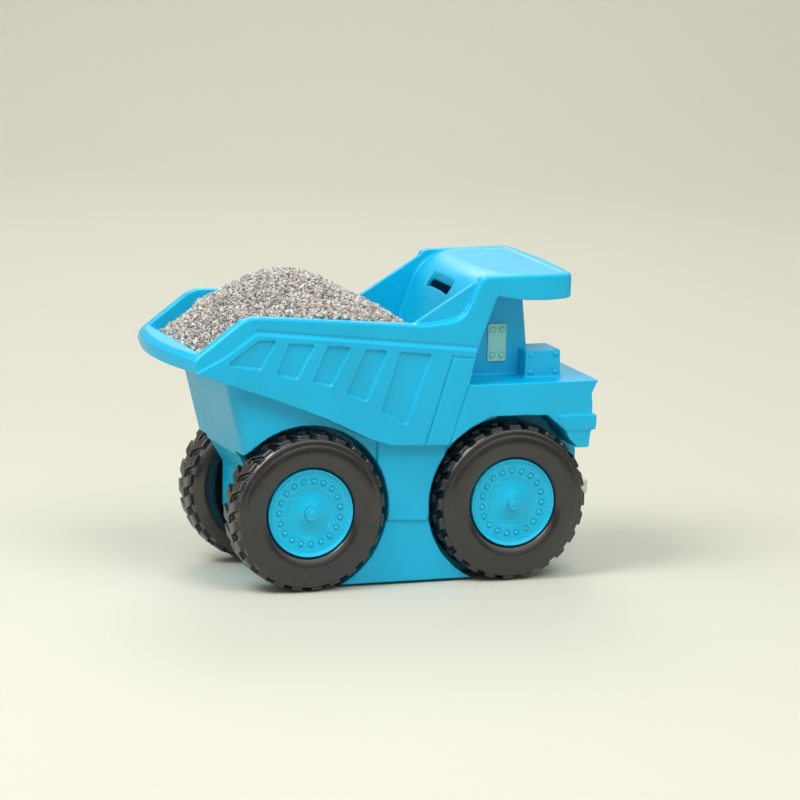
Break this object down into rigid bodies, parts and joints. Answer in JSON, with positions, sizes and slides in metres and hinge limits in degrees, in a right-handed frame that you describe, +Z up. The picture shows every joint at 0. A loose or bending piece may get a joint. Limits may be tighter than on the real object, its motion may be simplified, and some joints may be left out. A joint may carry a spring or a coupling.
{
  "type": "toy dump truck coin bank",
  "caption": "Chunky moulded mining-type dump truck toy on free-rolling wheels, loaded with gravel; a slot in the headboard drops coins into its hollow body.",
  "frame": {"origin": "on the ground, below the middle of the overall length and width", "axes": "+X is the driving direction, +Y the truck's left, +Z up"},
  "size_m": [0.248, 0.103, 0.1703],
  "materials": {
    "body_blue": "satin-gloss sky-blue moulded plastic",
    "gravel": "loose grey, beige and white grains",
    "plate_mint": "satin mint",
    "lamp_silver": "silver painted plastic",
    "tyre_black": "semi-gloss soft black vinyl",
    "hub_blue": "glossy sky-blue plastic",
    "cap_blue": "glossy sky-blue plastic",
    "axle_steel": "plain drawn steel",
    "bush_white": "natural nylon",
    "stopper_rubber": "matte black rubber"
  },
  "bodies": {
    "truck": {"axle_bush_front_left": "bush_white", "axle_bush_front_right": "bush_white", "axle_bush_rear_left": "bush_white", "axle_bush_rear_right": "bush_white", "axle_cap_front_left": "cap_blue", "axle_cap_front_right": "cap_blue", "axle_cap_rear_left": "cap_blue", "axle_cap_rear_right": "cap_blue", "body_shell": "body_blue", "cab_plate_left": "plate_mint", "cab_plate_right": "plate_mint", "front_axle": "axle_steel", "gravel_load": "gravel", "headlight_left": "lamp_silver", "headlight_right": "lamp_silver", "nose_grille": "lamp_silver", "rear_axle": "axle_steel"},
    "wheel_front_right": {"tyre_front_right": "tyre_black", "hub_front_right": "hub_blue"},
    "wheel_front_left": {"tyre_front_left": "tyre_black", "hub_front_left": "hub_blue"},
    "wheel_rear_right": {"tyre_rear_right": "tyre_black", "hub_rear_right": "hub_blue"},
    "wheel_rear_left": {"tyre_rear_left": "tyre_black", "hub_rear_left": "hub_blue"},
    "stopper": {"coin_stopper": "stopper_rubber"}
  },
  "joints": [
    {"name": "wheel_front_right_spin", "type": "hinge", "parent": "truck", "child": "wheel_front_right", "pos_m": [0.0687, -0.0385, 0.044], "axis": [0, 1, 0], "continuous": true},
    {"name": "wheel_front_left_spin", "type": "hinge", "parent": "truck", "child": "wheel_front_left", "pos_m": [0.0687, 0.0385, 0.044], "axis": [0, 1, 0], "continuous": true},
    {"name": "wheel_rear_right_spin", "type": "hinge", "parent": "truck", "child": "wheel_rear_right", "pos_m": [-0.049, -0.0385, 0.044], "axis": [0, 1, 0], "continuous": true},
    {"name": "wheel_rear_left_spin", "type": "hinge", "parent": "truck", "child": "wheel_rear_left", "pos_m": [-0.049, 0.0385, 0.044], "axis": [0, 1, 0], "continuous": true},
    {"name": "stopper_pull", "type": "slide", "parent": "truck", "child": "stopper", "axis": [0, 0, -1], "range_m": [0, 0.02]}
  ]
}
